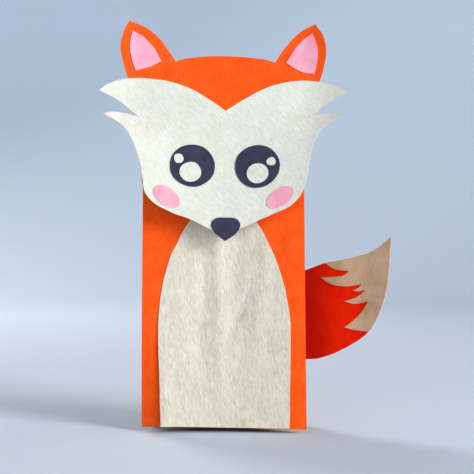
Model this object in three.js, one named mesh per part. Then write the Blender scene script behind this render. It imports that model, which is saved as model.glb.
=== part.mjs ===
// A fox hand puppet made from a paper lunch bag and cut sheets of coloured construction paper.
// The bag stands mouth down. Its folded-over bottom is the flap that carries the fox's head, and the
// pocket under that flap is the fox's mouth. A hand goes in from below and curls its fingers into the
// flap. Units are millimetres, +Z is up, the fox faces -Y, and the origin is the centre of the mouth
// of the bag, where the wrist enters.
import * as THREE from "three";

// Driving dimensions: a lunch bag of 130 x 79 x 270 mm.
const BAG_WIDTH = 130;
const BAG_DEPTH = 79;
const BAG_LENGTH = 270;
const BAG_PAPER = 0.3;
const CARD = 0.4;
const GLUE_GAP = 0.1;

// How the bag stands open on a hand.
const MOUTH_OPENING = 38;
const FLAP_ANGLE = THREE.MathUtils.degToRad(15);
const TAIL_ANGLE = THREE.MathUtils.degToRad(25);
const CREASE_GAP = 0.6;
// The mouth roof stops this far short of the front wall's top, so that the linkage runs freely.
const ROOF_SHORT = 2.5;

const HALF_WIDTH = BAG_WIDTH / 2;
const HALF_DEPTH = BAG_DEPTH / 2;
const BACK_Y = MOUTH_OPENING / 2;
const FRONT_LENGTH = BAG_LENGTH - HALF_DEPTH;

// The mouth linkage in side view: the flap turns about the top crease, its lower edge carries the
// mouth roof, and the roof's far edge meets the top of the front wall, which stands on the bag's mouth.
const topCrease = new THREE.Vector2(BACK_Y, BAG_LENGTH);
const flapEdge = new THREE.Vector2(
  BACK_Y - BAG_DEPTH * Math.sin(FLAP_ANGLE),
  BAG_LENGTH - BAG_DEPTH * Math.cos(FLAP_ANGLE),
);
const FRONT_LEAN = THREE.MathUtils.degToRad(7.967);
const frontFoot = new THREE.Vector2(
  -BACK_Y,
  FRONT_LENGTH - FRONT_LENGTH * Math.cos(FRONT_LEAN),
);
const frontTop = new THREE.Vector2(
  frontFoot.x + FRONT_LENGTH * Math.sin(FRONT_LEAN),
  FRONT_LENGTH,
);
const ROOF_ANGLE =
  Math.atan2(frontTop.x - flapEdge.x, frontTop.y - flapEdge.y) - FLAP_ANGLE;

const KRAFT = { color: 0xb98a56, roughness: 0.9 };
const ORANGE = { color: 0xf2501a, roughness: 0.85 };
const CREAM = { color: 0xe9e4d6, roughness: 0.9 };
const PINK = { color: 0xf7a6c0, roughness: 0.85 };
const INK = { color: 0x37304a, roughness: 0.8 };

const puppet = new THREE.Group();

function group(parent, x, y, z, turnX = 0, turnZ = 0) {
  const made = new THREE.Group();
  made.position.set(x, y, z);
  made.rotation.set(turnX, 0, turnZ);
  parent.add(made);
  return made;
}

function addMesh(parent, name, geometry, look) {
  const mesh = new THREE.Mesh(
    geometry,
    new THREE.MeshStandardMaterial({ ...look, metalness: 0 }),
  );
  mesh.name = name;
  parent.add(mesh);
  return mesh;
}

// Smooth runs of points that meet in sharp corners, as one list of points.
function smooth(runs, steps = 5) {
  return runs.flatMap((run) => {
    const points = run.map(([x, y]) => new THREE.Vector2(x, y));
    if (points.length === 2) return [points[0]];
    return new THREE.SplineCurve(points)
      .getPoints(steps * (points.length - 1))
      .slice(0, -1);
  });
}

// A half outline from the top centre round +X to the bottom centre, closed by its mirror image.
function mirrored(runs, steps) {
  const half = smooth(runs, steps);
  const lastRun = runs.at(-1);
  half.push(new THREE.Vector2(...lastRun.at(-1)));
  const other = half
    .slice(1, -1)
    .map((p) => new THREE.Vector2(-p.x, p.y))
    .reverse();
  return [...half, ...other];
}

// An ellipse whose long axis is turned from X.
function ellipse(x, y, rx, ry, turn = 0, points = 28) {
  return new THREE.EllipseCurve(x, y, rx, ry, 0, 2 * Math.PI, false, turn)
    .getPoints(points)
    .slice(0, -1);
}

function flip(points) {
  return points.map((p) => new THREE.Vector2(-p.x, p.y)).reverse();
}

// A flat sheet cut to an outline in X and Z. Its back face is at y = -depth and it is thickness thick
// towards -Y.
function sheet(parent, name, points, depth, thickness, look) {
  const geometry = new THREE.ExtrudeGeometry(new THREE.Shape(points), {
    depth: thickness,
    bevelEnabled: false,
    steps: 1,
  });
  geometry.rotateX(Math.PI / 2);
  geometry.translate(0, -depth, 0);
  return addMesh(parent, name, geometry, look);
}

function rectangle(left, right, bottom, top) {
  return [
    [left, bottom],
    [right, bottom],
    [right, top],
    [left, top],
  ].map(([x, y]) => new THREE.Vector2(x, y));
}

// ---------------------------------------------------------------- back of the bag
const SEAM_LEFT = -14;
const SEAM_RIGHT = 0;

function backWall() {
  const height = BAG_LENGTH - CREASE_GAP;
  const geometry = new THREE.BoxGeometry(
    BAG_WIDTH,
    BAG_PAPER,
    height,
    4,
    1,
    4,
  );
  geometry.translate(0, BACK_Y + BAG_PAPER / 2, height / 2);
  addMesh(puppet, "bag_back_wall", geometry, KRAFT);
}

function backSeam() {
  const behind = -(BACK_Y + BAG_PAPER + GLUE_GAP + BAG_PAPER);
  const strip = rectangle(SEAM_LEFT, SEAM_RIGHT, 0, BAG_LENGTH - CREASE_GAP);
  sheet(puppet, "bag_back_seam", strip, behind, BAG_PAPER, KRAFT);
}

// ---------------------------------------------------------------- front wall and what is glued on it
const COVER_TOP = 218;
const front = group(puppet, 0, frontFoot.x, frontFoot.y, -FRONT_LEAN);

// Half width of the belly patch: an arch from its top down to its straight sides.
const bellyHalf = [
  [
    [0, 190],
    [14, 184],
    [26.6, 168.4],
    [36.6, 150],
    [43.4, 134],
    [48.6, 119],
    [52, 101],
    [53.6, 80],
    [53.7, 55],
    [53.2, 27],
    [52.4, 0],
  ],
  [
    [52.4, 0],
    [0, 0],
  ],
];

function frontPanel() {
  const wall = rectangle(
    -HALF_WIDTH,
    HALF_WIDTH,
    0,
    FRONT_LENGTH - CREASE_GAP,
  );
  sheet(front, "bag_front_wall", wall, -BAG_PAPER, BAG_PAPER, KRAFT);
  const cover = rectangle(-HALF_WIDTH, HALF_WIDTH, 0, COVER_TOP);
  sheet(front, "body_cover", cover, GLUE_GAP, CARD, ORANGE);
  const patchDepth = 2 * GLUE_GAP + CARD;
  sheet(front, "belly_patch", mirrored(bellyHalf), patchDepth, CARD, CREAM);
}

// ---------------------------------------------------------------- side gussets
// Each side of the bag is two strips that fold inwards along a crease, which lies half way between
// the walls. The crease runs in deeper where the walls are closer together.
const GUSSET_BOTTOM = 2.6;
const GUSSET_TOP = 226;
const EDGE_IN = 0.4;

function frontWallY(z) {
  return frontFoot.x + (z - frontFoot.y) * Math.tan(FRONT_LEAN);
}

function creaseAt(z) {
  const gap = BACK_Y - frontWallY(z);
  const inset = Math.sqrt(HALF_DEPTH ** 2 - (gap / 2) ** 2);
  return { x: HALF_WIDTH - inset, y: BACK_Y - gap / 2 };
}

// A strip between an edge line and the crease, BAG_PAPER thick towards -Y. Both faces are split along
// the same diagonal, since the strip is slightly twisted.
function strip(parent, name, side, edgeY, creaseShift) {
  const corner = (atEdge, z, thick) => {
    const crease = creaseAt(z);
    const x = atEdge ? HALF_WIDTH - EDGE_IN : crease.x;
    const y = atEdge ? edgeY(z) : crease.y + creaseShift;
    return [side * x, y - thick, z];
  };
  const ring = (thick) => [
    ...corner(side < 0, GUSSET_BOTTOM, thick),
    ...corner(side > 0, GUSSET_BOTTOM, thick),
    ...corner(side > 0, GUSSET_TOP, thick),
    ...corner(side < 0, GUSSET_TOP, thick),
  ];
  const faces = [
    [0, 1, 2],
    [0, 2, 3],
    [4, 6, 5],
    [4, 7, 6],
    [0, 4, 5],
    [0, 5, 1],
    [1, 5, 6],
    [1, 6, 2],
    [2, 6, 7],
    [2, 7, 3],
    [3, 7, 4],
    [3, 4, 0],
  ];
  const geometry = new THREE.BufferGeometry();
  const corners = [...ring(BAG_PAPER), ...ring(0)];
  geometry.setAttribute(
    "position",
    new THREE.Float32BufferAttribute(corners, 3),
  );
  geometry.setIndex(faces.flat());
  geometry.computeVertexNormals();
  addMesh(parent, name, geometry, KRAFT);
}

function gussets() {
  const clear = EDGE_IN + BAG_PAPER;
  const backEdge = () => BACK_Y - EDGE_IN;
  const frontEdge = (z) => frontWallY(z) + BAG_PAPER + clear;
  for (const [side, word] of [
    [-1, "left"],
    [1, "right"],
  ]) {
    strip(puppet, `gusset_${word}_back`, side, backEdge, clear);
    strip(puppet, `gusset_${word}_front`, side, frontEdge, 0);
  }
}

// ---------------------------------------------------------------- flap: the folded bottom of the bag
const head = group(puppet, 0, topCrease.x, topCrease.y, -FLAP_ANGLE);
const FLAP_START = 0.4;
const TAB_LENGTH = 48;
const SIDE_TAB_REACH = 37;
const layer = BAG_PAPER + GLUE_GAP;

function flapTabs() {
  const upper = rectangle(-HALF_WIDTH, HALF_WIDTH, -TAB_LENGTH, -CREASE_GAP);
  const lower = rectangle(
    -HALF_WIDTH,
    HALF_WIDTH,
    -BAG_DEPTH,
    TAB_LENGTH - BAG_DEPTH,
  );
  // Each end tab is a strip with its inner corners folded away at 45 degrees.
  const side = [
    [HALF_WIDTH, -BAG_DEPTH + 1],
    [HALF_WIDTH, -1],
    [HALF_WIDTH - SIDE_TAB_REACH / 2, -1 - SIDE_TAB_REACH / 2],
    [HALF_WIDTH - SIDE_TAB_REACH / 2, SIDE_TAB_REACH / 2 - BAG_DEPTH + 1],
  ].map(([x, y]) => new THREE.Vector2(x, y));
  sheet(head, "flap_tab_left", flip(side), FLAP_START, BAG_PAPER, KRAFT);
  sheet(head, "flap_tab_right", side, FLAP_START, BAG_PAPER, KRAFT);
  sheet(head, "flap_tab_lower", lower, FLAP_START + layer, BAG_PAPER, KRAFT);
  sheet(head, "flap_tab_upper", upper, FLAP_START + 2 * layer, BAG_PAPER, KRAFT);
}

// The gusset's upper end, folded in behind the flap as a triangle.
function upperGussets() {
  const pleat = [
    [HALF_WIDTH - EDGE_IN, -7],
    [HALF_WIDTH - EDGE_IN - 32, -HALF_DEPTH],
    [HALF_WIDTH - EDGE_IN, 10 - BAG_DEPTH],
  ].map(([x, y]) => new THREE.Vector2(x, y));
  sheet(head, "pleat_left", flip(pleat), -0.5, BAG_PAPER, KRAFT);
  sheet(head, "pleat_right", pleat, -0.5, BAG_PAPER, KRAFT);
}

// The strip of the front wall that turns back under the flap and is the roof of the fox's mouth.
function mouthRoof() {
  const roof = group(head, 0, 0, -BAG_DEPTH, -ROOF_ANGLE);
  const panel = rectangle(
    -HALF_WIDTH + EDGE_IN,
    HALF_WIDTH - EDGE_IN,
    CREASE_GAP,
    HALF_DEPTH - ROOF_SHORT,
  );
  sheet(roof, "mouth_roof", panel, 0, BAG_PAPER, KRAFT);
}

// ---------------------------------------------------------------- the fox's head, heights from the top crease
const headHalf = [
  [
    [0, 30.8],
    [11.3, 30.6],
    [24.2, 29.8],
    [33.8, 28.4],
    [40.8, 25.7],
  ],
  [
    [40.8, 25.7],
    [45.5, 33.9],
    [52.2, 42.9],
    [60.4, 51.4],
    [67.6, 56],
    [75.2, 59],
  ],
  [
    [75.2, 59],
    [80, 47.4],
    [82.8, 33.8],
    [80.6, 22.6],
    [76.9, 10.8],
    [70, -8],
    [64.5, -24],
  ],
  [
    [64.5, -24],
    [64, -76],
  ],
  [
    [64, -76],
    [62.6, -79.4],
    [59, -81],
  ],
  [
    [59, -81],
    [0, -81],
  ],
];
const faceHalf = [
  [
    [0, -14.7],
    [16.1, -4.3],
    [32.2, 3.6],
    [48.3, 9.2],
    [64.4, 10.9],
    [80.5, 9.7],
    [92.6, 5.5],
    [100, 1.3],
  ],
  [
    [100, 1.3],
    [88.5, -4],
    [80.3, -10.2],
    [70, -19.2],
  ],
  [
    [70, -19.2],
    [80.5, -17.4],
    [88.5, -17.2],
    [96.5, -19],
  ],
  [
    [96.5, -19],
    [86.8, -25],
    [78.8, -32.4],
    [72.4, -42.6],
    [68.9, -55.8],
    [67, -68],
    [65.3, -79],
    [61, -87.2],
    [52.1, -94.8],
    [38.7, -101.9],
    [25.7, -107.2],
    [11.4, -114.1],
    [3, -119.2],
    [0, -120],
  ],
];
const noseHalf = [
  [
    [0, -103.8],
    [6.8, -104.1],
    [10.6, -106.6],
    [11.6, -111],
    [8.2, -117],
    [0, -123.2],
  ],
];
const innerEar = [
  [
    [72.6, 50.4],
    [75.6, 37.6],
    [74.8, 25.1],
    [72.2, 16.8],
  ],
  [
    [72.2, 16.8],
    [60.6, 19.4],
    [49.9, 25.6],
  ],
  [
    [49.9, 25.6],
    [56.2, 36],
    [64, 44.8],
    [72.6, 50.4],
  ],
];
const HEAD_DEPTH = FLAP_START + 3 * layer;
const FACE_DEPTH = HEAD_DEPTH + CARD + GLUE_GAP;
const FEATURE_DEPTH = FACE_DEPTH + CARD + GLUE_GAP;
const GLINT_DEPTH = FEATURE_DEPTH + CARD + GLUE_GAP;
const EYE = { x: 26.3, y: -61.3, rx: 18.2, ry: 17.5 };
const BIG_GLINT = { dx: 0.8, dy: -5.4, rx: 8.9, ry: 8.6 };
const SMALL_GLINT = { dx: 11.2, dy: 5, rx: 3.9, ry: 3.9 };
const CHEEK = { x: 45.7, y: -87, rx: 12, ry: 7.4, turn: 0.63 };

function headSheets() {
  sheet(head, "head_cover", mirrored(headHalf), HEAD_DEPTH, CARD, ORANGE);
  sheet(head, "face_patch", mirrored(faceHalf), FACE_DEPTH, CARD, CREAM);
  sheet(head, "nose", mirrored(noseHalf), FEATURE_DEPTH, CARD, INK);
  const ear = smooth(innerEar);
  sheet(head, "inner_ear_right", ear, FACE_DEPTH, CARD, PINK);
  sheet(head, "inner_ear_left", flip(ear), FACE_DEPTH, CARD, PINK);
}

function faceFeatures() {
  for (const [side, word] of [
    [-1, "left"],
    [1, "right"],
  ]) {
    const put = (name, shape, depth, look) =>
      sheet(
        head,
        `${name}_${word}`,
        ellipse(
          side * shape.x,
          shape.y,
          shape.rx,
          shape.ry,
          side * (shape.turn ?? 0),
        ),
        depth,
        CARD,
        look,
      );
    const onEye = (glint) => ({
      ...glint,
      x: EYE.x + glint.dx,
      y: EYE.y + glint.dy,
    });
    put("eye", EYE, FEATURE_DEPTH, INK);
    put("eye_glint_large", onEye(BIG_GLINT), GLINT_DEPTH, CREAM);
    put("eye_glint_small", onEye(SMALL_GLINT), GLINT_DEPTH, CREAM);
    put("cheek", CHEEK, FEATURE_DEPTH, PINK);
  }
}

// ---------------------------------------------------------------- tail, measured out from the bag's right edge
const TAIL_BEND_X = HALF_WIDTH + 0.6;
const tailOutline = [
  [
    [0.3, 126.8],
    [8.2, 129.6],
    [18.8, 132.5],
    [32.8, 134.8],
    [47.6, 138.1],
    [57.5, 140.7],
    [65.6, 144.4],
    [72.2, 148.9],
    [76.7, 153.8],
  ],
  [
    [76.7, 153.8],
    [75.5, 129.9],
    [73.9, 117.3],
    [71.4, 105.4],
    [67.3, 93.5],
    [62.3, 84.5],
    [49.2, 72.2],
    [41, 67],
    [31.2, 62.1],
    [20.5, 58.4],
    [11.5, 56.4],
    [0.3, 55.9],
  ],
  [
    [0.3, 55.9],
    [0.3, 126.8],
  ],
];
// The cream tip: along the tail's own edge, then back along a cut of five tufts.
const tipOutline = [
  [
    [19, 132.4],
    [32.8, 134.7],
    [47.6, 138],
    [57.5, 140.6],
    [65.6, 144.3],
    [72.2, 148.8],
    [76.6, 153.6],
  ],
  [
    [76.6, 153.6],
    [75.4, 129.9],
    [73.8, 117.3],
    [71.3, 105.4],
    [67.2, 93.5],
    [62.2, 84.6],
    [56.6, 78.6],
  ],
  [
    [56.6, 78.6],
    [45, 78.9],
    [35.3, 80.9],
  ],
  [
    [35.3, 80.9],
    [49.2, 93.5],
    [55.8, 102.4],
  ],
  [
    [55.8, 102.4],
    [45.1, 100],
    [35.3, 101.8],
  ],
  [
    [35.3, 101.8],
    [46, 106],
    [53.7, 111.6],
  ],
  [
    [53.7, 111.6],
    [48, 110.2],
    [42.3, 110.7],
  ],
  [
    [42.3, 110.7],
    [47, 112.8],
    [50.2, 116.2],
  ],
  [
    [50.2, 116.2],
    [31.2, 114.3],
    [22.1, 116.5],
    [15.2, 121],
  ],
  [
    [15.2, 121],
    [27.9, 121.6],
    [35, 123],
    [39.3, 126.4],
  ],
  [
    [39.3, 126.4],
    [27, 128],
    [19, 132.4],
  ],
];
// The root of the tail is a rounded tongue glued to the back of the bag.
const rootOutline = [
  [
    [64.4, 55.9],
    [64.4, 126.8],
  ],
  [
    [64.4, 126.8],
    [52, 120],
    [43, 108],
    [40, 91],
    [43, 75],
    [52, 62],
    [64.4, 55.9],
  ],
];

function tail() {
  const behind = BACK_Y + BAG_PAPER + GLUE_GAP + CARD;
  const root = smooth(rootOutline);
  sheet(puppet, "tail_root", root, -behind, CARD, ORANGE);
  const blade = group(puppet, TAIL_BEND_X, behind, 0, 0, -TAIL_ANGLE);
  sheet(blade, "tail_blade", smooth(tailOutline).reverse(), 0, CARD, ORANGE);
  const tip = smooth(tipOutline).reverse();
  sheet(blade, "tail_tip", tip, CARD + GLUE_GAP, CARD, CREAM);
}

backWall();
backSeam();
frontPanel();
gussets();
flapTabs();
upperGussets();
mouthRoof();
headSheets();
faceFeatures();
tail();

export default puppet;
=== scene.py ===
"""A fox hand puppet made from a paper lunch bag and hand-cut construction paper.

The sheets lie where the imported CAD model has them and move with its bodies. Here each one is built again
as real paper: thin, slightly curved, cut by hand, with fibres, flecks and pale cut edges. The sheets are
measured in millimetres, and everything else, from materials to the camera, in metres.
"""
import math

import bmesh
import bpy
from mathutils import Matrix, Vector
from mathutils import noise
from mathutils.geometry import delaunay_2d_cdt
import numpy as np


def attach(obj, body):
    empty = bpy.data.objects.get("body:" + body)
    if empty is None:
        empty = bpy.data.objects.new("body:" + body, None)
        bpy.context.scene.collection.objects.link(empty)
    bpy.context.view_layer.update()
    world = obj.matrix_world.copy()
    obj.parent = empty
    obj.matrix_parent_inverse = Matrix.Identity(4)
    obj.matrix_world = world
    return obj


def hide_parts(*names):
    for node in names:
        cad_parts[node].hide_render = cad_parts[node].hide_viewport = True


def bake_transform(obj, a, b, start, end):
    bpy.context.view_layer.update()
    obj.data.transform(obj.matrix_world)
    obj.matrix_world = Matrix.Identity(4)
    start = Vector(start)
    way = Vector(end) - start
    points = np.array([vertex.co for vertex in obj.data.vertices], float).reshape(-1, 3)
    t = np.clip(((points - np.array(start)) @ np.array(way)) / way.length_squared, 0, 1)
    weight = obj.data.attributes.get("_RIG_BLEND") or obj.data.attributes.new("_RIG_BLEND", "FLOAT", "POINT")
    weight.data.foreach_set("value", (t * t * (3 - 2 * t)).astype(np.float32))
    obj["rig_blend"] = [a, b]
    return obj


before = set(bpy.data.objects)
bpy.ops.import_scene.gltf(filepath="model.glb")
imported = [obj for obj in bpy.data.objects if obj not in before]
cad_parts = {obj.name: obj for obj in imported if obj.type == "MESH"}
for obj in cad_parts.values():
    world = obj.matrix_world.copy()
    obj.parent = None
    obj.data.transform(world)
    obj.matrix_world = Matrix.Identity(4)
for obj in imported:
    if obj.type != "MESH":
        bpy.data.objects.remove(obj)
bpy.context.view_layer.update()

MM = 0.001

# ------------------------------------------------------------------ sizes shared with the CAD model
HALF = 65.0  # half the bag's width
GUSSET_HALF = 39.5
BAG_TOP = 270.0
BACK_Y = 19.0
FLAP = 79.0
FLAP_ANGLE = math.radians(15)
FRONT_LENGTH = 230.5
FRONT_LEAN = math.radians(7.967)
FRONT_FOOT = (-19.0, 2.2)
ROOF_ANGLE = math.radians(21.374)
FLAP_EDGE = (BACK_Y - FLAP * math.sin(FLAP_ANGLE), BAG_TOP - FLAP * math.cos(FLAP_ANGLE))
TAIL_ANGLE = math.radians(25)

# Thicknesses. A sheet's lift is how far its back lies off the surface that it is glued to.
BAG_PAPER = 0.25
CARD = 0.35


def smoothstep(low, high, value):
    t = min(1.0, max(0.0, (value - low) / (high - low)))
    return t * t * (3 - 2 * t)


def ripple(x, w, seed, size):
    """Gentle unevenness of a sheet, from -1 to 1, with waves about size millimetres long."""
    return noise.noise(Vector((x / size, w / size, seed)))


# ------------------------------------------------------------------ where each sheet lies
# Each function ending in _point takes a point on a flat sheet, in millimetres, seen from the puppet's
# front, and gives its place in space, in metres. A bow is how far a sheet stands off its own plane, towards
# the viewer.
CURL_AT_CREASE = 1.6
CURL_BELOW = 6.0
CURL_BELOW_LEFT = 1.8
CURL_ABOVE = 2.4
CHIN_DIP = 0.8


def head_bow(x, w):
    """The head curls towards the viewer at its sides, least at the crease, and more on the left."""
    below = smoothstep(-4, -60, w)
    above = smoothstep(4, 55, w)
    left = CURL_BELOW_LEFT * smoothstep(0, -60, x)
    curl = (abs(x) / HALF) ** 2 * (CURL_AT_CREASE + (CURL_BELOW + left) * below + CURL_ABOVE * above)
    tufts = 0.005 * max(0, abs(x) - 62) ** 2
    chin = -CHIN_DIP * smoothstep(-80, -122, w)
    return curl + tufts + chin + 0.5 * ripple(x, w, 1.0, 45) * (below + above)


def head_point(x, w):
    """The flap and all that is glued to it, w up from the top crease, below which w is negative."""
    bow = head_bow(x, w)
    y = BACK_Y + w * math.sin(FLAP_ANGLE) - bow * math.cos(FLAP_ANGLE)
    z = BAG_TOP + w * math.cos(FLAP_ANGLE) + bow * math.sin(FLAP_ANGLE)
    return Vector((x, y, z)) * MM


HOLLOW = 3.6
CORNER_TURN = 7.5
RIGHT_FORWARD = 3.0
# Centre at mid height, lean, width, depth (outwards is positive), and the heights between which it runs.
WRINKLES = [
    (-17, 0.03, 6.0, -1.4, 30, 215),
    (-4, -0.02, 5.0, 1.1, 10, 200),
    (9, 0.05, 7.0, -0.8, 60, 190),
    (21, 0.42, 5.0, -1.0, 55, 140),
    (31, 0.10, 6.0, 0.9, 40, 200),
    (42, 0.08, 5.0, -0.8, 70, 190),
    (-31, -0.25, 5.0, -1.0, 40, 130),
    (-38, -0.06, 6.0, 0.7, 50, 180),
]


def front_bow(x, h):
    """The front wall is hollow between its sides and wrinkled where a hand has squeezed it.

    Its lower left corner turns back, and its right side stands forward.
    """
    inside = math.cos(math.pi * x / (2 * HALF)) ** 1.5 if abs(x) < HALF else 0.0
    hollow = -HOLLOW * inside * math.sin(math.pi * min(1.0, max(0.0, (h + 60) / 290)))
    fold = 0.0
    for centre, slope, width, depth, low, high in WRINKLES:
        line = centre + slope * (h - 110)
        along = smoothstep(low, low + 40, h) * (1 - smoothstep(high - 40, high, h))
        fold += depth * math.exp(-(((x - line) / width) ** 2)) * along
    corner = -CORNER_TURN * smoothstep(-44, -67, x) * smoothstep(90, 0, h)
    forward = RIGHT_FORWARD * smoothstep(-5, 66, x)
    return hollow + corner + forward + inside * (fold + 0.45 * ripple(x * 2.2, h * 0.5, 4.0, 30))


def front_point(x, h):
    """The front wall and all that is glued to it, h up from the foot."""
    bow = front_bow(x, h)
    y = FRONT_FOOT[0] + h * math.sin(FRONT_LEAN) - bow * math.cos(FRONT_LEAN)
    z = FRONT_FOOT[1] + h * math.cos(FRONT_LEAN) + bow * math.sin(FRONT_LEAN)
    return Vector((x, y, z)) * MM


def back_point(x, z):
    """The back wall, which sways a little between its straight edges."""
    inside = math.cos(math.pi * x / (2 * HALF)) ** 2 if abs(x) < HALF else 0.0
    sway = 0.5 * ripple(x, z, 7.0, 50) * inside * math.sin(math.pi * z / BAG_TOP)
    return Vector((x, BACK_Y - sway, z)) * MM


def roof_point(x, s):
    """The mouth's roof, s up from the flap's edge. It starts as curled as the flap and ends straight."""
    bow = head_bow(x, -FLAP) * (1 - s / GUSSET_HALF)
    y = FLAP_EDGE[0] + s * math.sin(ROOF_ANGLE) - bow * math.cos(FLAP_ANGLE)
    z = FLAP_EDGE[1] + s * math.cos(ROOF_ANGLE) + bow * math.sin(FLAP_ANGLE)
    return Vector((x, y, z)) * MM


def crease_point(side, z):
    """The inward fold of a gusset, half way between the two walls."""
    front_y = front_point(side * HALF, (z - FRONT_FOOT[1]) / math.cos(FRONT_LEAN)).y / MM
    half_gap = (BACK_Y - front_y) / 2
    inset = math.sqrt(GUSSET_HALF**2 - half_gap**2)
    return Vector((side * (HALF - inset), BACK_Y - half_gap, z)) * MM


TAIL_X = 65.6
TAIL_Y = 19.8
TAIL_CURL = 0.45
TAIL_WAVE = 52 / (2 * math.pi)


def tail_point(u, z):
    """The tail: flat where it is glued behind the bag (u below 0), then curling towards the viewer."""
    if u < 0:
        return Vector((TAIL_X + u, TAIL_Y, z)) * MM
    x = TAIL_X + u * math.cos(TAIL_ANGLE)
    sway = math.sin((u - 12) / TAIL_WAVE) + math.sin(12 / TAIL_WAVE)
    curl = TAIL_CURL * u + 0.12 * TAIL_WAVE * sway
    uneven = (0.45 * ripple(u, z, 9.0, 30) + 0.0002 * u * (z - 95)) * min(1, u / 10)
    y = TAIL_Y - curl - uneven
    return Vector((x, y, z)) * MM


# ------------------------------------------------------------------ outlines, in millimetres
def spline(points, steps=5):
    """A Catmull-Rom curve through the points, without the last one."""
    if len(points) == 2:
        return [points[0]]
    found = []
    for i in range(len(points) - 1):
        p1, p2 = Vector(points[i]), Vector(points[i + 1])
        p0 = Vector(points[i - 1]) if i else p1 * 2 - p2
        p3 = Vector(points[i + 2]) if i + 2 < len(points) else p2 * 2 - p1
        for k in range(steps):
            t = k / steps
            a = -t + 2 * t * t - t**3
            b = 2 - 5 * t * t + 3 * t**3
            c = t + 4 * t * t - 3 * t**3
            d = -t * t + t**3
            found.append((p0 * a + p1 * b + p2 * c + p3 * d) * 0.5)
    return found


def outline(runs, steps=5):
    """Smooth runs of points that meet in sharp corners, as one closed outline."""
    return [Vector(p) for run in runs for p in spline(run, steps)]


def flip(points):
    """The outline mirrored left to right."""
    return [Vector((-p[0], p[1])) for p in points][::-1]


def turned(points, degrees, pivot=(0, 0)):
    """The outline turned in its own plane, clockwise for the viewer when degrees is positive."""
    a = math.radians(-degrees)
    px, pw = pivot
    return [
        Vector(
            (
                px + (p[0] - px) * math.cos(a) - (p[1] - pw) * math.sin(a),
                pw + (p[0] - px) * math.sin(a) + (p[1] - pw) * math.cos(a),
            )
        )
        for p in points
    ]


def rectangle(left, right, low, high):
    """The four corners, anticlockwise from the lower left."""
    return [Vector(p) for p in ((left, low), (right, low), (right, high), (left, high))]


def toothed(left, right, low, high, tooth=1.1, pitch=4.0):
    """A rectangle whose lower edge is pinked, as the mouth of a paper bag is."""
    count = round((right - left) / pitch)
    teeth = []
    for i in range(count):
        x = left + (right - left) * i / count
        teeth.append(Vector((x, low + tooth)))
        teeth.append(Vector((x + (right - left) / count / 2, low)))
    teeth.append(Vector((right, low + tooth)))
    return teeth + [Vector((right, high)), Vector((left, high))]


def oval(x, w, rx, ry, turn=0.0, seed=0.0, uneven=0.0, points=44):
    """A hand-cut oval, its long axis turned anticlockwise by turn degrees, slightly out of true."""
    a = math.radians(turn)
    found = []
    for i in range(points):
        t = 2 * math.pi * i / points
        r = 1 + uneven * noise.noise(Vector((math.cos(t) * 1.5, math.sin(t) * 1.5, seed)))
        ex, ey = rx * r * math.cos(t), ry * r * math.sin(t)
        found.append(
            Vector(
                (
                    x + ex * math.cos(a) - ey * math.sin(a),
                    w + ex * math.sin(a) + ey * math.cos(a),
                )
            )
        )
    return found


def densified(points, spacing, wobble, seed):
    """The outline with points no further apart than spacing, moved a little as scissors would."""
    found = []
    for i, p in enumerate(points):
        q = points[(i + 1) % len(points)]
        count = max(1, math.ceil((q - p).length / spacing))
        found += [p.lerp(q, k / count) for k in range(count)]
    if not wobble:
        return found
    moved = []
    for p in found:
        shift = Vector((ripple(p[0], p[1], seed, 9), ripple(p[0], p[1], seed + 50, 9)))
        moved.append(p + shift * wobble)
    return moved


def inside(p, points):
    """Whether the point is within the closed outline."""
    odd = False
    for i, a in enumerate(points):
        b = points[i - 1]
        if (a[1] > p[1]) != (b[1] > p[1]):
            if p[0] < (b[0] - a[0]) * (p[1] - a[1]) / (b[1] - a[1]) + a[0]:
                odd = not odd
    return odd


def near_edge(p, edge_cells, cell):
    """Whether the point's square of a grid, or one round it, holds a point of the outline."""
    cx, cy = int(p[0] // cell), int(p[1] // cell)
    return any((cx + i, cy + j) in edge_cells for i in (-1, 0, 1) for j in (-1, 0, 1))


def triangulated(points, step):
    """The outline filled with even triangles: its points and the faces."""
    cell = step * 0.55
    cells = {(int(p[0] // cell), int(p[1] // cell)) for p in points}
    low = [min(p[i] for p in points) for i in (0, 1)]
    high = [max(p[i] for p in points) for i in (0, 1)]
    inner = []
    row = 0
    w = low[1] + step / 2
    while w < high[1]:
        x = low[0] + step * (0.5 if row % 2 else 1.0)
        while x < high[0]:
            p = Vector((x, w))
            if inside(p, points) and not near_edge(p, cells, cell):
                inner.append(p)
            x += step
        w += step * 0.87
        row += 1
    ring = list(range(len(points)))
    made = delaunay_2d_cdt(list(points) + inner, [], [ring], 1, 1e-4)
    return made[0], [tuple(f) for f in made[2]]


# ------------------------------------------------------------------ building a sheet
def normal_at(place, x, w):
    """The direction off a sheet's front, from four points close round its own."""
    d = 0.05
    return (place(x + d, w) - place(x - d, w)).cross(place(x, w + d) - place(x, w - d)).normalized()


def new_object(name, verts, faces, uvs, materials, edge_from):
    """A mesh whose faces from edge_from on are the sheet's cut edge, with the second material."""
    mesh = bpy.data.meshes.new(name)
    mesh.from_pydata(verts, [], faces)
    for m in materials:
        mesh.materials.append(m)
    layer = mesh.uv_layers.new(name="flat")
    for loop in mesh.loops:
        layer.data[loop.index].uv = uvs[loop.vertex_index]
    for i, polygon in enumerate(mesh.polygons):
        polygon.use_smooth = i < edge_from
        polygon.material_index = 1 if i >= edge_from and len(materials) > 1 else 0
    mesh.validate()
    made = bpy.data.objects.new(name, mesh)
    bpy.context.scene.collection.objects.link(made)
    return made


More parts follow.
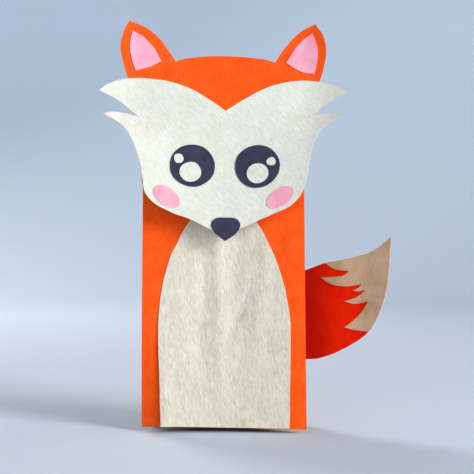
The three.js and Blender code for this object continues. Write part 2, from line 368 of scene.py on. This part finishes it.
def paper(name, points, place, lift, thick, look, step=3.0, wobble=0.12, seed=0.0):
    """A sheet cut to the outline and laid on the surface that place gives, lift millimetres off it."""
    edge = densified(points, step * 0.6, wobble, seed)
    area = sum(a.cross(b) for a, b in zip(edge, edge[1:] + edge[:1]))
    if area < 0:
        edge.reverse()
    flat, triangles = triangulated(edge, step)
    top, bottom = [], []
    for p in flat:
        base = place(p[0], p[1])
        n = normal_at(place, p[0], p[1])
        bottom.append(base + n * lift * MM)
        top.append(base + n * (lift + thick) * MM)
    count = len(flat)
    upright = [t if turn_of(flat, t) > 0 else t[::-1] for t in triangles]
    faces = list(upright) + [tuple(i + count for i in t[::-1]) for t in upright]
    edge_from = len(faces)
    # The side wall has its own corners, so that the rim of the sheet stays crisp.
    verts = top + bottom
    uvs = [(p[0] * MM, p[1] * MM) for p in flat] * 2
    for a, b in border(upright):
        first = len(verts)
        verts += [top[a], top[b], bottom[b], bottom[a]]
        uvs += [uvs[a], uvs[b], uvs[b], uvs[a]]
        faces.append((first, first + 3, first + 2, first + 1))
    made = new_object(name, verts, faces, uvs, look, edge_from)
    weld(made)
    return made


def turn_of(flat, t):
    """Above zero when the triangle's corners run anticlockwise."""
    a, b, c = (flat[i] for i in t)
    return (b[0] - a[0]) * (c[1] - a[1]) - (b[1] - a[1]) * (c[0] - a[0])


def border(triangles):
    """The directed edges that only one triangle has."""
    edges = {(t[i], t[(i + 1) % 3]) for t in triangles for i in range(3)}
    return [e for e in edges if (e[1], e[0]) not in edges]


def weld(made):
    """Joins the rim to the faces, so that each sheet is one closed solid, and marks the rim's edges sharp."""
    held = bmesh.new()
    held.from_mesh(made.data)
    bmesh.ops.remove_doubles(held, verts=held.verts, dist=1e-7)
    held.to_mesh(made.data)
    held.free()
    for e in made.data.edges:
        e.use_edge_sharp = False
    attributes = made.data.attributes
    sharp = attributes.get("sharp_edge") or attributes.new("sharp_edge", "BOOLEAN", "EDGE")
    flags = [False] * len(made.data.edges)
    count = {}
    for polygon in made.data.polygons:
        for key in polygon.edge_keys:
            count.setdefault(key, set()).add(polygon.material_index)
    for i, e in enumerate(made.data.edges):
        flags[i] = len(count.get(tuple(sorted(e.vertices)), ())) > 1
    sharp.data.foreach_set("value", flags)


def ruled(name, rows, thick, look):
    """A thin sheet with its middle at the points, which come in rows of the same length."""
    wide = len(rows[0])
    flat = [p for row in rows for p in row]
    grid = []
    for j in range(len(rows) - 1):
        for i in range(wide - 1):
            a = j * wide + i
            grid.append((a, a + 1, a + wide + 1, a + wide))
    mesh = bpy.data.meshes.new(name)
    mesh.from_pydata(flat, [], grid)
    for m in look:
        mesh.materials.append(m)
    layer = mesh.uv_layers.new(name="flat")
    for loop in mesh.loops:
        i = loop.vertex_index
        layer.data[loop.index].uv = ((i % wide) * 2.5 * MM, flat[i].z)
    made = bpy.data.objects.new(name, mesh)
    bpy.context.scene.collection.objects.link(made)
    solid = made.modifiers.new("paper", "SOLIDIFY")
    solid.thickness = thick * MM
    solid.offset = 0
    apply_modifiers(made)
    for polygon in made.data.polygons:
        polygon.use_smooth = False
    return made


def apply_modifiers(made):
    """Makes what the object's modifiers show its own mesh."""
    graph = bpy.context.evaluated_depsgraph_get()
    mesh = bpy.data.meshes.new_from_object(made.evaluated_get(graph))
    made.modifiers.clear()
    old = made.data
    made.data = mesh
    bpy.data.meshes.remove(old)


# ------------------------------------------------------------------ materials
class Nodes:
    """Short calls for building one material's node tree."""

    def __init__(self, name):
        self.material = bpy.data.materials.new(name)
        self.material.use_nodes = True
        self.tree = self.material.node_tree
        self.shader = self.tree.nodes["Principled BSDF"]

    def add(self, kind, **inputs):
        node = self.tree.nodes.new("ShaderNode" + kind)
        for key, value in inputs.items():
            self.set(node.inputs[key.replace("_", " ")], value)
        return node

    def set(self, socket, value):
        if hasattr(value, "is_output"):
            self.tree.links.new(value, socket)
        elif hasattr(value, "inputs"):
            self.tree.links.new(value.outputs[0], socket)
        else:
            socket.default_value = value

    def flat(self, across, along, turn=0.0):
        """The sheet's own flat coordinates, scaled, so that the grain keeps to the paper."""
        where = self.add("TexCoord").outputs["UV"]
        if turn:
            where = self.add("Mapping", Vector=where, Rotation=(0, 0, math.radians(turn)))
        return self.add("Mapping", Vector=where, Scale=(across, along, 1))

    def noise(self, where, scale, detail=3.0, rough=0.5, bend=0.0):
        node = self.add("TexNoise", Vector=where, Scale=scale, Detail=detail, Roughness=rough,
                        Distortion=bend)
        return node.outputs["Fac"]

    def stretch(self, value, low, high, to_low=0.0, to_high=1.0):
        node = self.add("MapRange", Value=value)
        node.inputs["From Min"].default_value = low
        node.inputs["From Max"].default_value = high
        node.inputs["To Min"].default_value = to_low
        node.inputs["To Max"].default_value = to_high
        return node.outputs[0]

    def math(self, kind, a, b):
        node = self.tree.nodes.new("ShaderNodeMath")
        node.operation = kind
        self.set(node.inputs[0], a)
        self.set(node.inputs[1], b)
        return node.outputs[0]

    def mix(self, amount, a, b, blend="MIX"):
        node = self.tree.nodes.new("ShaderNodeMix")
        node.data_type = "RGBA"
        node.blend_type = blend
        self.set(node.inputs[0], amount)
        self.set(node.inputs[6], a)
        self.set(node.inputs[7], b)
        return node.outputs[2]

    def bump(self, height, strength, distance, under=None):
        node = self.add("Bump", Height=height, Strength=strength, Distance=distance)
        if under is not None:
            self.set(node.inputs["Normal"], under)
        return node.outputs[0]


def srgb(code):
    """A colour given as an sRGB hex code, as linear RGBA."""
    found = []
    for shift in (16, 8, 0):
        c = ((code >> shift) & 255) / 255
        found.append(c / 12.92 if c <= 0.04045 else ((c + 0.055) / 1.055) ** 2.4)
    return (*found, 1.0)


def construction_paper(name, pale, deep, fleck, flecks=0.35, grain=1.0, clouds=0.5, lean=0.0, crinkle=0.3):
    """Coarse coloured paper: soft clouds of dye, short fibres that lean by lean degrees, and stray flecks.

    Flecks, grain, clouds and crinkle say how strong each is: the flecks' colour, the fibres' relief, the
    clouds against the fibres in the colour, and the paper's soft creases.
    """
    n = Nodes(name)
    upright = n.flat(1.0, 0.28, lean)
    even = n.flat(1.0, 1.0)
    leaning = n.flat(1.0, 0.2, lean + 24)
    cloud = n.noise(even, 55, 4, 0.55, 0.4)
    fibre = n.noise(upright, 620, 5, 0.65, 0.6)
    cross = n.noise(leaning, 900, 3, 0.6, 0.5)
    tooth = n.noise(even, 1900, 3, 0.6)
    mixed = n.math("ADD", n.math("MULTIPLY", n.stretch(cloud, 0.32, 0.68), clouds),
                   n.math("MULTIPLY", n.stretch(fibre, 0.3, 0.7), 1 - clouds))
    colour = n.mix(n.stretch(mixed, 0.12, 0.88), srgb(deep), srgb(pale))
    stray = n.stretch(cross, 0.63, 0.74, 0.0, flecks)
    colour = n.mix(stray, colour, srgb(fleck))
    n.set(n.shader.inputs["Base Color"], colour)
    rough = n.stretch(n.math("ADD", fibre, tooth), 0.7, 1.3, 0.82, 0.98)
    n.set(n.shader.inputs["Roughness"], rough)
    n.shader.inputs["Specular IOR Level"].default_value = 0.1
    n.shader.inputs["Sheen Weight"].default_value = 0.04
    n.shader.inputs["Sheen Roughness"].default_value = 0.6
    crushed = n.noise(n.flat(1.0, 0.45, lean), 95, 3, 0.5, 1.2)
    creased = n.bump(crushed, crinkle, 0.0012)
    coarse = n.bump(n.stretch(fibre, 0.25, 0.75), 0.35 * grain, 0.00012, creased)
    fine = n.bump(tooth, 0.3 * grain, 0.00006, coarse)
    n.set(n.shader.inputs["Normal"], fine)
    return n.material


def cut_edge(name, code):
    """The slightly furry cut through a sheet: pale partly as cut paper is, and partly as painted highlight
    for cut edges catching the light.
    """
    n = Nodes(name)
    fuzz = n.noise(n.flat(1, 1), 2600, 4, 0.7)
    dark = tuple(c * 0.82 for c in srgb(code)[:3]) + (1.0,)
    n.set(n.shader.inputs["Base Color"], n.mix(n.stretch(fuzz, 0.3, 0.7), dark, srgb(code)))
    n.shader.inputs["Specular IOR Level"].default_value = 0.1
    n.set(n.shader.inputs["Roughness"], n.stretch(fuzz, 0.3, 0.7, 0.88, 1.0))
    n.set(n.shader.inputs["Normal"], n.bump(fuzz, 0.4, 0.0001))
    return n.material


def kraft_paper(name, pale, deep):
    """Machine-made bag paper: fine lines up the sheet, faint clouds, and a slight glaze."""
    n = Nodes(name)
    lines = n.noise(n.flat(1.0, 0.03), 900, 3, 0.6)
    cloud = n.noise(n.flat(1, 1), 260, 5, 0.65, 0.2)
    fibre = n.noise(n.flat(1.0, 0.3, 8), 1200, 4, 0.65, 0.5)
    mixed = n.math("ADD", n.math("MULTIPLY", lines, 0.5), n.math("MULTIPLY", cloud, 0.5))
    colour = n.mix(n.stretch(mixed, 0.3, 0.7), srgb(deep), srgb(pale))
    colour = n.mix(n.stretch(fibre, 0.62, 0.75, 0.0, 0.4), colour, srgb(0xE0BE8E))
    crumple = n.add("TexVoronoi", Vector=n.flat(1.0, 0.7), Scale=38.0)
    crumple.feature = "SMOOTH_F1"
    n.set(n.shader.inputs["Base Color"], colour)
    n.set(n.shader.inputs["Roughness"], n.stretch(mixed, 0.4, 0.6, 0.62, 0.8))
    n.shader.inputs["Specular IOR Level"].default_value = 0.3
    creased = n.bump(crumple.outputs["Distance"], 0.25, 0.0004)
    lined = n.bump(n.math("ADD", lines, fibre), 0.25, 0.0001, creased)
    n.set(n.shader.inputs["Normal"], lined)
    return n.material


def card(name, cut, **looks):
    """The two materials of a sheet of construction paper: its faces and its cut edge."""
    return [construction_paper(f"{name}_card", **looks), cut_edge(f"{name}_cut", cut)]


# The first colour given to card is its cut edge's: pale partly as the cut paper is, and partly painted
# highlight where edges catch the light.
ORANGE = card("orange", 0xFF8C54, pale=0xFF7028, deep=0xFC5616, fleck=0xFF8A46, flecks=0.3, clouds=0.35,
              lean=4, crinkle=0.2)
# The tail is the body's orange card; its deeper, redder colour is painted shade, for the shade the tail lies
# in beside the bag.
TAIL_RED_PAINTED_SHADE = card("tail", 0xF2D8C0, pale=0xFF3A02, deep=0xFF1600, fleck=0xFF5610, flecks=0.25, clouds=0.6,
                lean=-20, crinkle=0.4)
# The tail's tip is the face's cream card; its tan is painted shade, for the shade and the warm light off the
# orange paper that fall on the tip.
TAIL_CREAM_PAINTED_SHADE = card("tail_tip", 0xF8ECDC, pale=0xE8C4A2, deep=0xCEA886, fleck=0xB4926E, clouds=0.6, lean=-10)
CREAM = card("cream", 0xFFFBF0, pale=0xEFEEE3, deep=0xDAD8C8, fleck=0xB6B49E, flecks=0.5, grain=1.2,
             clouds=0.3, lean=-38)
# The belly is the face's cream card; its darker, warmer colour is painted shade, for the shade below the
# head. Its stronger grain and crinkle are the paper's own.
BELLY_CARD_PAINTED_SHADE = card("belly", 0xFFFBF0, pale=0xEEE6D6, deep=0xCFC6B1, fleck=0xB4A78E, flecks=0.4, grain=1.5,
                  clouds=0.25, lean=-8, crinkle=0.7)
PINK = card("pink", 0xFFD3E0, pale=0xFFBCCB, deep=0xF4A3B5, fleck=0xFFD4DC, flecks=0.4, grain=0.8, lean=25)
INK = card("ink", 0x4A4660, pale=0x524F62, deep=0x3F3C50, fleck=0x6A667C, lean=-15)
KRAFT = [kraft_paper("kraft_paper", 0xCB9F6C, 0xB0824F), cut_edge("kraft_cut", 0xD9B382)]
SEAM = [kraft_paper("kraft_seam", 0xBE9160, 0xA27545), cut_edge("kraft_seam_cut", 0xE2BE90)]


def done(made, body, slot, *nodes):
    """Ties a finished sheet to its body and the CAD nodes that it stands for; its material slot is not used.
    """
    if body:
        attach(made, body)
    if nodes:
        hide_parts(*nodes)
    return made


# ------------------------------------------------------------------ the bag
SEAM_LEFT = -14
FOOT_RISE = 2.8
GUSSET_LOW = 2.8
GUSSET_HIGH = 229.5
FRONT_TOP = 230.5  # the height of the front wall's upper edge
TAB_LENGTH = 48
TAB_REACH = 37.0 / 2


def evenly(start, length, count):
    """Numbers from start to start + length, both included, in count equal steps."""
    return [start + length * i / count for i in range(count + 1)]


def bag_walls():
    back = paper("paper_back_wall", toothed(-HALF, HALF, 0, BAG_TOP - 0.3), back_point, -BAG_PAPER,
                 BAG_PAPER, KRAFT, step=6.0, wobble=0)
    done(back, "bag_back", "kraft_paper", "bag_back_wall")
    seam = paper("paper_back_seam", toothed(SEAM_LEFT, 0, 0.6, BAG_TOP - 0.8, 1.1, 3.5), back_point,
                 -2 * BAG_PAPER - 0.1, BAG_PAPER, SEAM, step=4.0, wobble=0)
    done(seam, "bag_back", "kraft_paper", "bag_back_seam")
    shape = [raised_foot(p) for p in toothed(-HALF, HALF, 0, FRONT_LENGTH - 0.3)]
    front = paper("paper_front_wall", shape, front_point, -BAG_PAPER, BAG_PAPER, KRAFT, step=4.0, wobble=0)
    done(front, "bag_front", "kraft_paper", "bag_front_wall")


def raised_foot(p):
    """Lifts a point of the front wall's foot with the card cover's, which slopes up to the left."""
    at_foot = p[1] < 5
    return p + Vector((0, FOOT_RISE * (HALF - p[0]) / (2 * HALF) * at_foot))


def gusset_sway(p, side):
    """How far a point of the gusset's uneven paper lies towards the back."""
    return Vector((0, 0.25 * MM * ripple(p.x / MM, p.z / MM, 12 + side, 25), 0))


def bag_gussets():
    for side, word in ((-1, "left"), (1, "right")):
        rows = []
        for z in evenly(GUSSET_LOW, GUSSET_HIGH - GUSSET_LOW, 45):
            crease = crease_point(side, z)
            back = Vector((side * (HALF - 0.15), BACK_Y - 0.15, z)) * MM
            front_y = front_point(side * HALF, (z - FRONT_FOOT[1]) / math.cos(FRONT_LEAN)).y + 0.35 * MM
            front = Vector((side * (HALF - 0.15) * MM, front_y, z * MM))
            row = [back.lerp(crease, i / 12) for i in range(12)]
            row += [crease.lerp(front, i / 12) for i in range(13)]
            rows.append([p + gusset_sway(p, side) for p in row])
        gusset = ruled(f"paper_gusset_{word}", rows, BAG_PAPER, KRAFT)
        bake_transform(gusset, "bag_back", "bag_front", (0, 0.019, 0.226), (0, 0.0123, 0.2255))
        done(gusset, None, "kraft_paper", f"gusset_{word}_back", f"gusset_{word}_front")


def fan(name, edge, tip, look, reach=0.965):
    """A folded-in triangle of the bag, from an edge of a wall towards the inner end of the gusset's fold."""
    rows = [[p.lerp(tip, reach * i / 10) for i in range(11)] for p in edge]
    return ruled(name, rows, BAG_PAPER, look)


def bag_pleats():
    """At the top of each gusset the bag folds in as three triangles that meet at one point."""
    for side, word in ((-1, "left"), (1, "right")):
        x = side * (HALF - 0.3)
        tip = crease_point(side, FRONT_TOP)
        flap_edge = [head_point(x, w) + Vector((0, 0.5 * MM, 0)) for w in evenly(-0.8, 3.3 - FLAP, 16)]
        pleat = fan(f"paper_pleat_{word}", flap_edge, tip, KRAFT)
        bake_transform(pleat, "bag_back", "head", tip, tip.lerp(flap_edge[14], 0.5))
        done(pleat, None, "kraft_paper", f"pleat_{word}")
        back_edge = [Vector((x * MM, (BACK_Y - 0.4) * MM, z * MM)) for z in evenly(231, 38.4, 8)]
        done(fan(f"paper_back_fold_{word}", back_edge, tip, KRAFT), "bag_back", "kraft_paper")
        roof_edge = [roof_point(x, s) + Vector((0, 0.6 * MM, 0)) for s in evenly(2, 34, 8)]
        done(fan(f"paper_roof_fold_{word}", roof_edge, tip, KRAFT, 0.82), "mouth_roof", "kraft_paper")


def mouth_roof():
    roof = paper("paper_mouth_roof", rectangle(-HALF + 0.2, HALF - 0.2, 0.4, 37.5), roof_point, 0, BAG_PAPER,
                 KRAFT, step=4.0, wobble=0)
    done(roof, "mouth_roof", "kraft_paper", "mouth_roof")


def flap():
    """The folded bottom of the bag: two end tabs, then the lower tab, then the upper one."""
    tab = [(HALF, 1 - FLAP), (HALF, -1), (HALF - TAB_REACH, -1 - TAB_REACH),
           (HALF - TAB_REACH, TAB_REACH - FLAP + 1)]
    tab = [Vector(p) for p in tab]
    layers = [
        ("flap_tab_left", flip(tab), 0.15),
        ("flap_tab_right", tab, 0.15),
        ("flap_tab_lower", rectangle(-HALF, HALF, -FLAP, TAB_LENGTH - FLAP), 0.5),
        ("flap_tab_upper", rectangle(-HALF, HALF, -TAB_LENGTH, -0.4), 0.85),
    ]
    for node, shape, lift in layers:
        sheet = paper(f"paper_{node}", shape, head_point, lift, BAG_PAPER, KRAFT, step=4.0, wobble=0)
        done(sheet, "head", "kraft_paper", node)


# ------------------------------------------------------------------ the body's card
COVER_TOP = 218
COVER_LIFT = 0.15
BELLY_LIFT = 0.75
# The cream belly, an uneven arch with a straight foot.
BELLY = [
    [(0, 190), (13, 184), (24.8, 168.4), (32.3, 156), (36.6, 147), (40.6, 138.6), (44.4, 128), (47.6, 117.5),
     (50.5, 105), (52.8, 90), (53.6, 75), (53.3, 55), (52.8, 31), (52.2, 0.6)],
    [(52.2, 0.6), (-49.3, 2)],
    [(-49.3, 2), (-50.2, 31), (-51.3, 55), (-52.2, 75), (-51.9, 90), (-50.5, 105), (-48.3, 117.5),
     (-45.7, 128), (-42.3, 138.6), (-38.3, 147), (-33.9, 156), (-25.9, 168.4), (-13.6, 184), (0, 190)],
]


def belly_point(x, h):
    """The belly patch: glued down, but curling off the cover along its lower left edge."""
    curl = 1.5 * smoothstep(-36, -52, x) * smoothstep(120, 20, h)
    return front_point(x, h) + Vector((0, -curl, 0)) * MM


def body_card():
    shape = [Vector(p) for p in ((-HALF, 2.6), (65.4, -0.2), (HALF, COVER_TOP), (-65.6, COVER_TOP))]
    cover = paper("orange_body", shape, front_point, COVER_LIFT, CARD, ORANGE, seed=3)
    done(cover, "bag_front", "orange_card", "body_cover")
    belly = paper("cream_belly", outline(BELLY), belly_point, BELLY_LIFT, CARD, BELLY_CARD_PAINTED_SHADE,
                  step=2.2, wobble=0.25, seed=5)
    done(belly, "bag_front", "cream_card", "belly_patch")


# ------------------------------------------------------------------ the head
HEAD_LIFT = 1.3
INNER_EAR_LIFT = 1.95
FACE_LIFT = 2.0
FEATURE_LIFT = 2.6
GLINT_LIFT = 3.15
# The head and its two ears, from the left ear's inner foot, clockwise.
HEAD = [
    [(-40, 29.5), (-33.2, 31.6), (-25, 33), (-11.4, 34.3), (0.5, 34.4), (11.8, 33.9), (24.7, 32.4),
     (34.6, 30.8), (42.5, 28.1)],
    [(42.5, 28.1), (47.3, 36.2), (54.2, 45.2), (62.5, 53.4), (69.5, 57.5), (76.2, 60)],
    [(76.2, 60), (82.3, 48.9), (84.7, 35.2), (82.8, 24.1), (79.6, 12.3), (70.6, -8), (64.6, -24)],
    [(64.6, -24), (64.4, -76)],
    [(64.4, -76), (62.8, -79.4), (59, -81)],
    [(59, -81), (-59, -81)],
    [(-59, -81), (-62.8, -79.4), (-64.4, -76)],
    [(-64.4, -76), (-64.6, -24)],
    [(-64.6, -24), (-70, -8), (-79.3, 14.5), (-83.7, 28.5), (-85.5, 39.5), (-83.7, 51.5), (-79.1, 63.1)],
    [(-79.1, 63.1), (-69.6, 60.2), (-60.9, 55.6), (-51.9, 47), (-45.5, 37.8), (-40, 29.5)],
]
# The face with its tufts, from the point of the forehead, clockwise.
FACE = [
    [(1.1, -14.2), (17.2, -3.3), (33.3, 5.6), (49.4, 10.7), (65.5, 12.2), (81.6, 9.5), (93.7, 3.7),
     (101.9, -1.8)],
    [(101.9, -1.8), (89.6, -6), (81.4, -11.2), (72.2, -19.1)],
    [(72.2, -19.1), (82.2, -18.8), (89.8, -19.5), (97.4, -22.8)],
    [(97.4, -22.8), (87.9, -26.2), (79.9, -32.5), (74, -42.2), (70.2, -55.4), (68.1, -68.6), (65.6, -79.4),
     (61.8, -88.2), (53, -96.6), (39.8, -102.2), (26.8, -108), (12.5, -114.6), (4, -119.2), (1.1, -120),
     (-2.4, -119.2), (-11.6, -113.7), (-26, -106.8), (-40.3, -102.1), (-55, -95.2), (-62.4, -87.4),
     (-64.4, -78.8), (-66, -67.6), (-69.8, -55.4), (-74.9, -43), (-81.6, -33), (-88.8, -28), (-98.3, -23.6)],
    [(-98.3, -23.6), (-90.5, -20.2), (-81.8, -20), (-69.8, -22)],
    [(-69.8, -22), (-81, -12.6), (-90, -6.6), (-102.6, -2)],
    [(-102.6, -2), (-94.3, 5.8), (-81.8, 11.4), (-65.2, 13), (-48.6, 11.3), (-32.1, 6.6), (-15.5, -2.3),
     (1.1, -14.2)],
]
NOSE = [
    [(0, -103.8), (6.8, -104.1), (10.6, -106.6), (11.6, -111), (8.2, -117), (0, -123.2)],
    [(0, -123.2), (-8.2, -117), (-11.6, -111), (-10.6, -106.6), (-6.8, -104.1), (0, -103.8)],
]
INNER_EAR_LEFT = [
    [(-76.1, 54.6), (-66.5, 49.3), (-57.9, 40.2), (-51.5, 29.3)],
    [(-51.5, 29.3), (-62, 23.4), (-73, 20.3)],
    [(-73, 20.3), (-76.2, 29.6), (-78, 41.8), (-76.1, 54.6)],
]
INNER_EAR_RIGHT = [
    [(73.5, 52), (77.8, 38.8), (76.9, 25.9), (75.1, 16.9)],
    [(75.1, 16.9), (62.8, 20), (51.5, 27.6)],
    [(51.5, 27.6), (58, 38), (65.8, 46.8), (73.5, 52)],
]


def head_card():
    cover = paper("orange_head", outline(HEAD), head_point, HEAD_LIFT, CARD, ORANGE, wobble=0.2, seed=11)
    done(cover, "head", "orange_card", "head_cover")
    face = paper("cream_face", turned(outline(FACE), 0.6, (0, -60)), head_point, FACE_LIFT, CARD, CREAM,
                 step=2.6, wobble=0.25, seed=13)
    done(face, "head", "cream_card", "face_patch")
    shape = [p + Vector((1.7, -1.1)) for p in turned(outline(NOSE), 2.0, (0, -112))]
    nose = paper("ink_nose", shape, head_point, FEATURE_LIFT, CARD, INK, step=1.6, wobble=0.15, seed=17)
    done(nose, "head", "navy_card", "nose")
    for word, runs, seed in (("left", INNER_EAR_LEFT, 19), ("right", INNER_EAR_RIGHT, 23)):
        made = paper(f"pink_inner_ear_{word}", outline(runs), head_point, INNER_EAR_LIFT, CARD, PINK,
                     step=2.0, wobble=0.3, seed=seed)
        done(made, "head", "pink_card", f"inner_ear_{word}")


# Centre, radii and turn of each oval of the face, on its two sides, then how uneven the cut is.
OVALS = [
    ("eye", (-25.3, -61.8, 18.3, 18.0, 0), (27.5, -62.6, 18.2, 18.0, 0), 0.03),
    ("eye_glint_large", (-26.9, -67.4, 8.8, 8.4, 0), (27.7, -68.6, 8.8, 8.4, 0), 0.05),
    ("eye_glint_small", (-36.7, -56.4, 4.0, 4.0, 0), (38.6, -59.1, 3.7, 3.5, 0), 0.12),
    ("cheek", (-45.9, -88.8, 12, 7.4, -36), (45.7, -89.2, 12, 7.0, 34), 0.05),
]


def features():
    looks = {
        "eye": ("navy_card", INK, FEATURE_LIFT),
        "eye_glint_large": ("cream_card", CREAM, GLINT_LIFT),
        "eye_glint_small": ("cream_card", CREAM, GLINT_LIFT),
        "cheek": ("pink_card", PINK, FEATURE_LIFT),
    }
    for kind, left, right, uneven in OVALS:
        slot, look, lift = looks[kind]
        for word, oval_sizes in (("left", left), ("right", right)):
            shape = oval(*oval_sizes, seed=oval_sizes[0], uneven=uneven)
            made = paper(f"{kind}_card_{word}", shape, head_point, lift, CARD, look, step=1.8, wobble=0)
            done(made, "head", slot, f"{kind}_{word}")


# ------------------------------------------------------------------ the tail
# The whole tail: its free blade to the right of the bag's edge, at 0, and the glued root to the left.
TAIL = [
    [(0, 125.9), (8.2, 129), (18.8, 132.5), (32.8, 135.2), (47, 138.6), (56, 141.4), (63.4, 145.2),
     (69, 149.6), (74.3, 154.2)],
    [(74.3, 154.2), (73.6, 143.3), (72.9, 129.9), (71.4, 117.3), (69, 105.4), (65, 93.5), (60.4, 84.5),
     (56, 78.2), (49.2, 72.2), (41, 67), (31.2, 61.8), (20.5, 57.3), (11.5, 54.4), (0, 53.2)],
    [(0, 53.2), (-13, 58), (-22, 71), (-25.4, 91), (-22, 110), (-12, 121.5), (0, 125.9)],
]
# The tail's pale tip, jagged where it lies on the red.
TAIL_TIP = [
    [(19, 132.6), (32.8, 135.2), (47, 138.6), (56, 141.4), (63.4, 145.2), (69, 149.6), (74.3, 154.2)],
    [(74.3, 154.2), (73.6, 143.3), (72.9, 129.9), (71.4, 117.3), (69, 105.4), (65, 93.5), (60.4, 84.5),
     (56, 78.3)],
    [(56, 78.3), (45, 78.9), (35.3, 80.9)],
    [(35.3, 80.9), (43, 86.6), (50, 93.5), (55.8, 102.4)],
    [(55.8, 102.4), (45.1, 100), (35.3, 101.8)],
    [(35.3, 101.8), (46, 105.6), (53.7, 111.6)],
    [(53.7, 111.6), (48, 110.2), (42.3, 110.7)],
    [(42.3, 110.7), (47, 112.8), (50.2, 116.2)],
    [(50.2, 116.2), (40, 114.2), (31.2, 114.3), (22.1, 116.5), (15.2, 121)],
    [(15.2, 121), (27.9, 121.6), (35, 123), (39.3, 126.4)],
    [(39.3, 126.4), (27, 128), (19, 132.6)],
]


def tail():
    blade = paper("orange_tail", outline(TAIL), tail_point, 0.0, CARD, TAIL_RED_PAINTED_SHADE,
                  step=2.6, wobble=0.2, seed=29)
    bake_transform(blade, "bag_back", "tail", (0.0645, 0.0198, 0.091), (0.0675, 0.0192, 0.091))
    done(blade, None, "orange_card", "tail_root", "tail_blade")
    tip = paper("cream_tail_tip", outline(TAIL_TIP), tail_point, CARD + 0.2, CARD, TAIL_CREAM_PAINTED_SHADE,
                step=2.2, wobble=0.15, seed=31)
    done(tip, "tail", "cream_card", "tail_tip")


# ------------------------------------------------------------------ floor, light and camera
def backdrop():
    """A pale round floor that sweeps up into a wall all round, so that every view has the same ground."""
    flat = 1.7
    sweep = 0.8
    high = 1.7
    around = 96
    gap = 0.0006
    profile = [(0.0, 0.0), (flat / 2, 0.0), (flat, 0.0)]
    turns = [math.pi / 2 * i / 16 for i in range(1, 17)]
    profile += [(flat + sweep * math.sin(a), sweep - sweep * math.cos(a)) for a in turns]
    profile.append((flat + sweep, high))
    verts, faces = [], []
    for r, z in profile:
        for k in range(around):
            a = 2 * math.pi * k / around
            verts.append((r * math.cos(a), r * math.sin(a), z - gap))
    for j in range(len(profile) - 1):
        for k in range(around):
            a, b = j * around + k, j * around + (k + 1) % around
            faces.append((a, b, b + around, a + around) if j else (a, b + around, a + around))
    mesh = bpy.data.meshes.new("backdrop")
    mesh.from_pydata(verts, [], faces)
    for polygon in mesh.polygons:
        polygon.use_smooth = True
    n = Nodes("backdrop")
    n.shader.inputs["Base Color"].default_value = srgb(0xDAE6F4)
    n.shader.inputs["Roughness"].default_value = 0.9
    mesh.materials.append(n.material)
    made = bpy.data.objects.new("backdrop", mesh)
    bpy.context.scene.collection.objects.link(made)


def area_light(name, place, aim, size, power, colour):
    """A round soft light at place, turned towards aim, with its diameter in metres and its power in watts."""
    lamp = bpy.data.lights.new(name, "AREA")
    lamp.shape = "DISK"
    lamp.size = size
    lamp.energy = power
    lamp.color = colour
    made = bpy.data.objects.new(name, lamp)
    made.location = place
    made.rotation_euler = (Vector(aim) - Vector(place)).to_track_quat("-Z", "Y").to_euler()
    bpy.context.scene.collection.objects.link(made)


def lights():
    """A key light from the right and in front, a weak fill from the left, and a rim light from behind."""
    area_light("key", (1.92, -1.32, 0.95), (0, 0, 0.16), 1.1, 46, (1.0, 0.99, 0.96))
    area_light("fill", (-0.9, -1.9, 0.5), (0, 0, 0.15), 1.2, 4.2, (1.0, 0.98, 0.94))
    area_light("rear", (-1.0, 1.5, 1.3), (0, 0, 0.15), 0.9, 16, (1.0, 0.98, 0.95))
    world = bpy.data.worlds.new("studio")
    world.use_nodes = True
    world.node_tree.nodes["Background"].inputs["Color"].default_value = (1.0, 0.86, 0.78, 1)
    world.node_tree.nodes["Background"].inputs["Strength"].default_value = 0.14
    bpy.context.scene.world = world
    bpy.context.scene.view_settings.view_transform = "Standard"
    bpy.context.scene.view_settings.look = "Medium High Contrast"


def camera():
    """Straight in front, level, at mid height."""
    data = bpy.data.cameras.new("camera")
    data.lens = 85
    data.sensor_width = 36
    data.clip_start = 0.01
    made = bpy.data.objects.new("camera", data)
    made.location = (0.0108, -0.901, 0.1538)
    made.rotation_euler = (math.pi / 2, 0, 0)
    bpy.context.scene.collection.objects.link(made)
    bpy.context.scene.camera = made


bag_walls()
bag_gussets()
bag_pleats()
mouth_roof()
flap()
body_card()
head_card()
features()
tail()
backdrop()
lights()
camera()
